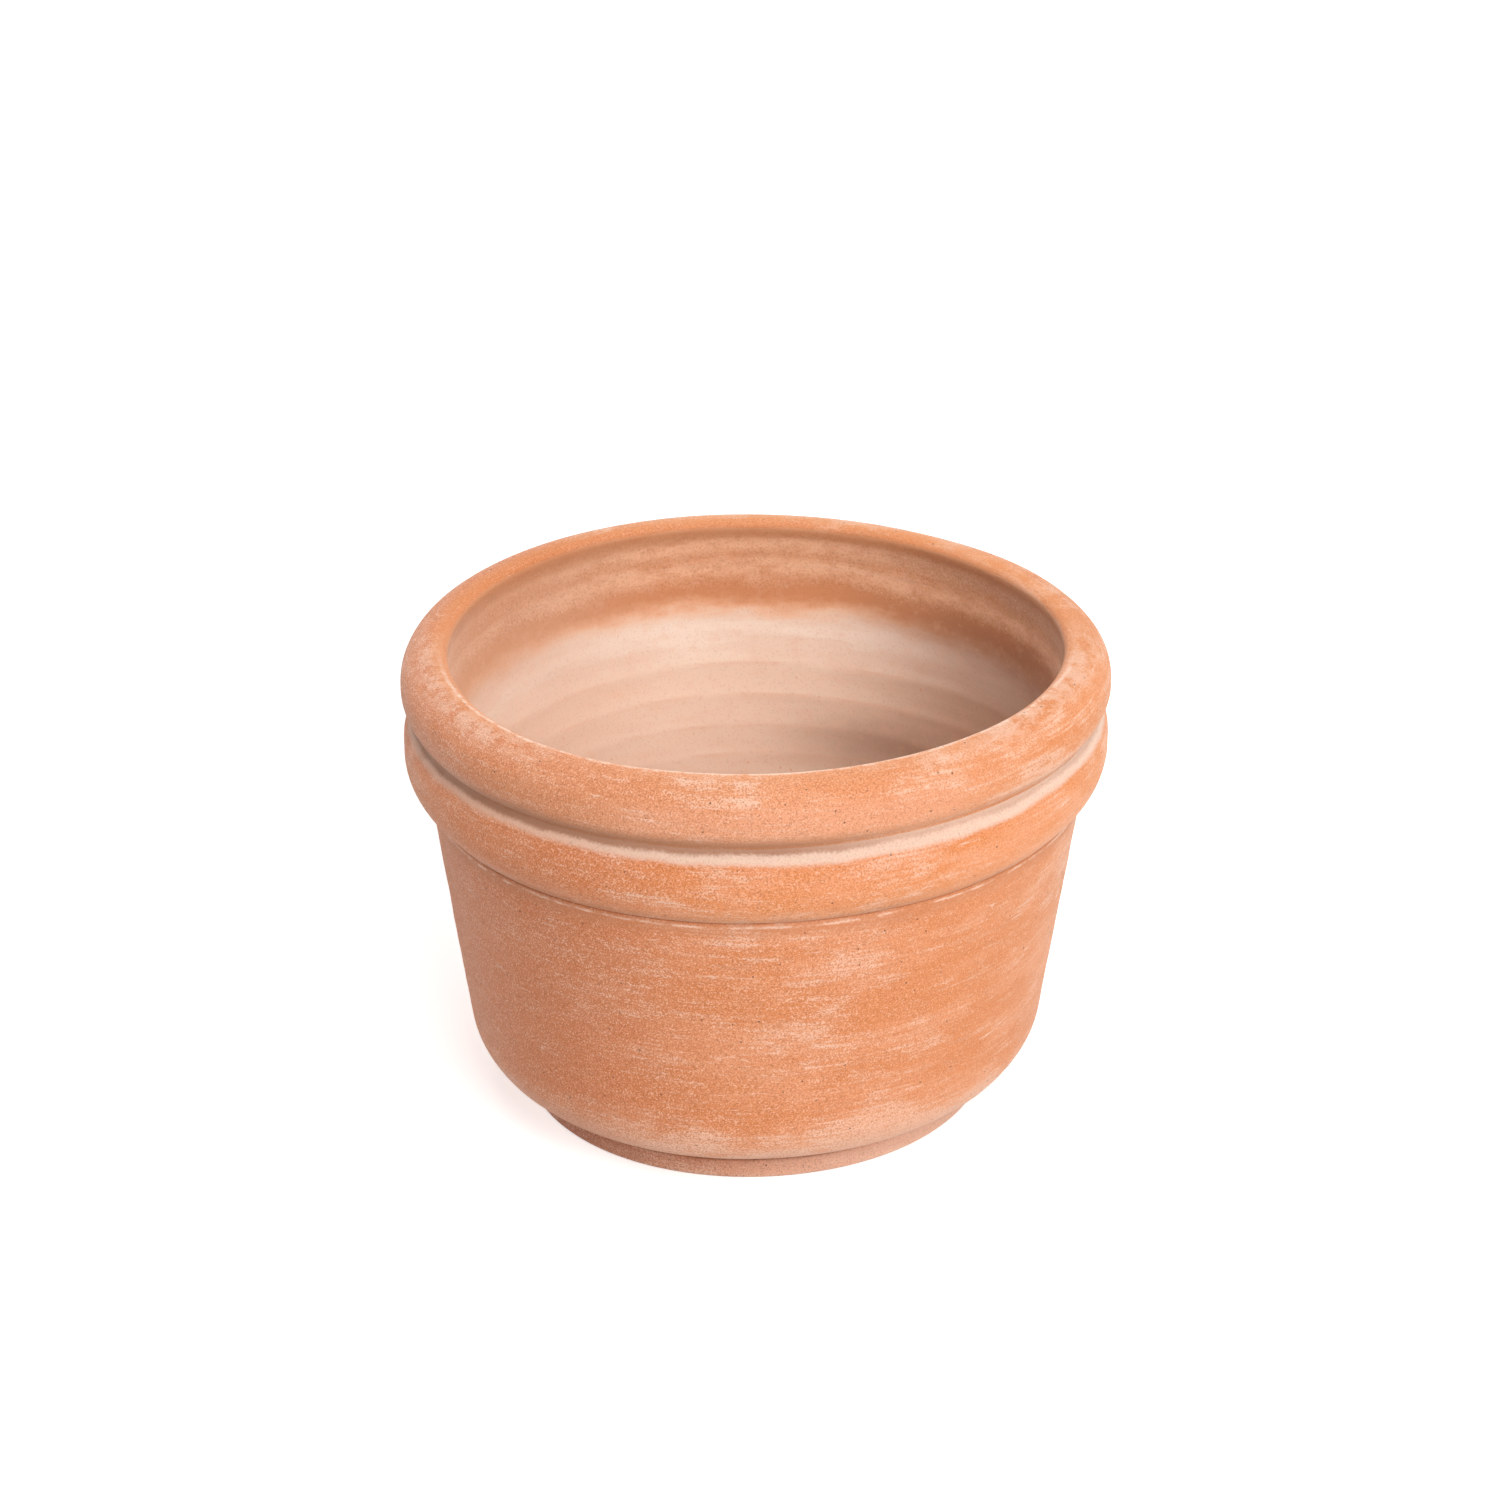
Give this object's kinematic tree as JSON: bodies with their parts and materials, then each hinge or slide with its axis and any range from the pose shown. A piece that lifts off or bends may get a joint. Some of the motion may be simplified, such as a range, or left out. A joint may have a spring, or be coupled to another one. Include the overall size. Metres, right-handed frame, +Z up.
{
  "type": "terracotta plant pot",
  "caption": "Round fired-clay planting bowl with a rolled rim over a raised collar, a tapered wall, a rounded heel and a low foot ring, drained through the centre of its floor.",
  "frame": {"origin": "on the turning axis, on the ground plane that the foot ring stands on", "axes": "+Z up along the turning axis, out of the mouth; the pot is round, so X and Y are any two level directions"},
  "size_m": [0.18, 0.18, 0.123],
  "materials": {
    "rim_clay": "matt unglazed terracotta, sponged smooth, with a pale salt bloom",
    "band_clay": "matt unglazed terracotta, turned, with a pale bloom on its top edge",
    "wall_clay": "matt unglazed terracotta, brushed pale streaks outside, peach-cream and ridged inside",
    "floor_clay": "matt unglazed terracotta, pale, with spiral throwing rings",
    "foot_clay": "matt unglazed terracotta, pinker and dustier than the wall"
  },
  "bodies": {
    "root": {"rim_roll": "rim_clay", "collar_band": "band_clay", "bowl_wall": "wall_clay", "floor_slab": "floor_clay", "foot_ring": "foot_clay"}
  },
  "joints": []
}
